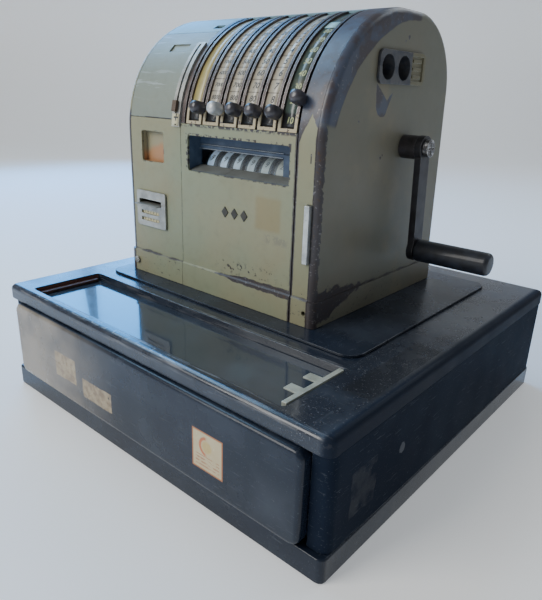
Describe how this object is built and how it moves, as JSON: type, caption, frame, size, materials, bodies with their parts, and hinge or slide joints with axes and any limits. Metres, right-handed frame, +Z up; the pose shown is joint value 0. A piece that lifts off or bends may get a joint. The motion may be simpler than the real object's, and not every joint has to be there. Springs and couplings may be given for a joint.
{
  "type": "cash register",
  "caption": "Hand-cranked cash register: arched steel casing with setting levers and a number window on a low cabinet with a cash drawer and a coin tray.",
  "frame": {"origin": "middle of the footprint, on the surface the register stands on", "axes": "+X to the operator's right, towards the crank; -Y towards the operator, the way the drawer opens; +Z up"},
  "size_m": [0.44, 0.435, 0.407],
  "materials": {
    "olive_enamel": "semi-gloss, worn at the edges",
    "black_enamel": "gloss, scratched",
    "black_glass": "polished",
    "steel": "machined",
    "pale_steel": "dull nickel",
    "worn_steel": "paint worn to the metal",
    "wood": "oiled",
    "bakelite": "satin",
    "ivory": "satin",
    "amber": "faded",
    "glass": "clear",
    "paper": "matte paper",
    "brass": "dull"
  },
  "bodies": {
    "root": {"left_cheek": "olive_enamel", "right_cheek": "olive_enamel", "left_front_panel": "olive_enamel", "center_front_panel": "olive_enamel", "right_strip": "olive_enamel", "left_arch_shell": "olive_enamel", "crown_cover": "olive_enamel", "rear_cover": "olive_enamel", "plinth": "black_enamel", "cabinet_shell": "black_enamel", "cabinet_lid": "black_enamel", "platform_plate": "black_enamel", "indicator_hood": "black_enamel", "tray_plate": "black_glass", "runner_left": "steel", "runner_right": "steel", "drawer_latch": "steel", "mechanism_base": "steel", "frame_plate_left": "steel", "frame_plate_right": "steel", "case_screw": "steel", "lever_shaft": "steel", "indicator_shaft": "steel", "paper_spindle": "steel", "tray_bar": "pale_steel", "receipt_plate": "pale_steel", "receipt_lip": "pale_steel", "selector_guide": "pale_steel", "tray_strip": "worn_steel", "column_rails": "worn_steel", "counter_bezel": "worn_steel", "crank_bush": "worn_steel", "journal_pocket": "amber", "indicator_glass": "glass"},
    "drawer": {"drawer_front": "black_enamel", "drawer_box": "steel", "coin_insert": "wood"},
    "crank": {"crank_shaft": "steel", "crank_arm": "worn_steel", "crank_screw": "steel", "crank_gear": "brass"},
    "crank_grip": {"crank_grip": "bakelite"},
    "main_drive": {"main_shaft": "steel", "main_gear": "brass"},
    "selector": {"selector_lever": "bakelite"},
    "push_bar": {"push_bar": "pale_steel"},
    "paper_roll": {"paper_roll": "paper"},
    "lever_1": {"set_lever_1": "bakelite"},
    "wheel_1": {"indicator_wheel_1": "ivory"},
    "lever_2": {"set_lever_2": "bakelite"},
    "wheel_2": {"indicator_wheel_2": "ivory"},
    "lever_3": {"set_lever_3": "bakelite"},
    "wheel_3": {"indicator_wheel_3": "ivory"},
    "lever_4": {"set_lever_4": "bakelite"},
    "wheel_4": {"indicator_wheel_4": "ivory"},
    "lever_5": {"set_lever_5": "bakelite"},
    "wheel_5": {"indicator_wheel_5": "ivory"},
    "lever_6": {"set_lever_6": "bakelite"},
    "wheel_6": {"indicator_wheel_6": "ivory"}
  },
  "joints": [
    {"name": "drawer_slide", "type": "slide", "parent": "root", "child": "drawer", "axis": [0, -1, 0], "range_m": [0, 0.3]},
    {"name": "crank_turn", "type": "hinge", "parent": "root", "child": "crank", "pos_m": [0.123, 0.0575, 0.2837], "axis": [1, 0, 0], "continuous": true},
    {"name": "grip_spin", "type": "hinge", "parent": "crank", "child": "crank_grip", "pos_m": [0.166, 0.06475, 0.17995], "axis": [1, 0, 0], "continuous": true},
    {"name": "main_shaft_turn", "type": "hinge", "parent": "root", "child": "main_drive", "pos_m": [-0.006, 0.0575, 0.2297], "axis": [1, 0, 0], "continuous": true},
    {"name": "selector_swing", "type": "hinge", "parent": "root", "child": "selector", "pos_m": [-0.0849, 0.04, 0.287], "axis": [-1, 0, 0], "range_deg": [0, 28]},
    {"name": "push_bar_press", "type": "slide", "parent": "root", "child": "push_bar", "axis": [0, 1, 0], "range_m": [0, 0.003], "stiffness_N_per_m": 600},
    {"name": "paper_roll_turn", "type": "hinge", "parent": "root", "child": "paper_roll", "pos_m": [-0.133, 0.064, 0.215], "axis": [1, 0, 0], "continuous": true},
    {"name": "lever_1_set", "type": "hinge", "parent": "root", "child": "lever_1", "pos_m": [-0.04745, 0.04, 0.287], "axis": [-1, 0, 0], "range_deg": [0, 54]},
    {"name": "wheel_1_turn", "type": "hinge", "parent": "root", "child": "wheel_1", "pos_m": [-0.0585, -0.038, 0.252], "axis": [-1, 0, 0], "range_deg": [0, 324]},
    {"name": "lever_2_set", "type": "hinge", "parent": "root", "child": "lever_2", "pos_m": [-0.0232, 0.04, 0.287], "axis": [-1, 0, 0], "range_deg": [0, 54]},
    {"name": "wheel_2_turn", "type": "hinge", "parent": "root", "child": "wheel_2", "pos_m": [-0.0395, -0.038, 0.252], "axis": [-1, 0, 0], "range_deg": [0, 324]},
    {"name": "lever_3_set", "type": "hinge", "parent": "root", "child": "lever_3", "pos_m": [0.00105, 0.04, 0.287], "axis": [-1, 0, 0], "range_deg": [0, 54]},
    {"name": "wheel_3_turn", "type": "hinge", "parent": "root", "child": "wheel_3", "pos_m": [-0.0205, -0.038, 0.252], "axis": [-1, 0, 0], "range_deg": [0, 324]},
    {"name": "lever_4_set", "type": "hinge", "parent": "root", "child": "lever_4", "pos_m": [0.0253, 0.04, 0.287], "axis": [-1, 0, 0], "range_deg": [0, 54]},
    {"name": "wheel_4_turn", "type": "hinge", "parent": "root", "child": "wheel_4", "pos_m": [-0.0015, -0.038, 0.252], "axis": [-1, 0, 0], "range_deg": [0, 324]},
    {"name": "lever_5_set", "type": "hinge", "parent": "root", "child": "lever_5", "pos_m": [0.04955, 0.04, 0.287], "axis": [-1, 0, 0], "range_deg": [0, 54]},
    {"name": "wheel_5_turn", "type": "hinge", "parent": "root", "child": "wheel_5", "pos_m": [0.0175, -0.038, 0.252], "axis": [-1, 0, 0], "range_deg": [0, 324]},
    {"name": "lever_6_set", "type": "hinge", "parent": "root", "child": "lever_6", "pos_m": [0.0738, 0.04, 0.287], "axis": [-1, 0, 0], "range_deg": [-6, 48]},
    {"name": "wheel_6_turn", "type": "hinge", "parent": "root", "child": "wheel_6", "pos_m": [0.0365, -0.038, 0.252], "axis": [-1, 0, 0], "range_deg": [-36, 288]}
  ],
  "couplings": [
    {"joint": "main_shaft_turn", "follows": "crank_turn", "ratio": -0.5},
    {"joint": "wheel_1_turn", "follows": "lever_1_set", "ratio": 6},
    {"joint": "wheel_2_turn", "follows": "lever_2_set", "ratio": 6},
    {"joint": "wheel_3_turn", "follows": "lever_3_set", "ratio": 6},
    {"joint": "wheel_4_turn", "follows": "lever_4_set", "ratio": 6},
    {"joint": "wheel_5_turn", "follows": "lever_5_set", "ratio": 6},
    {"joint": "wheel_6_turn", "follows": "lever_6_set", "ratio": 6}
  ]
}
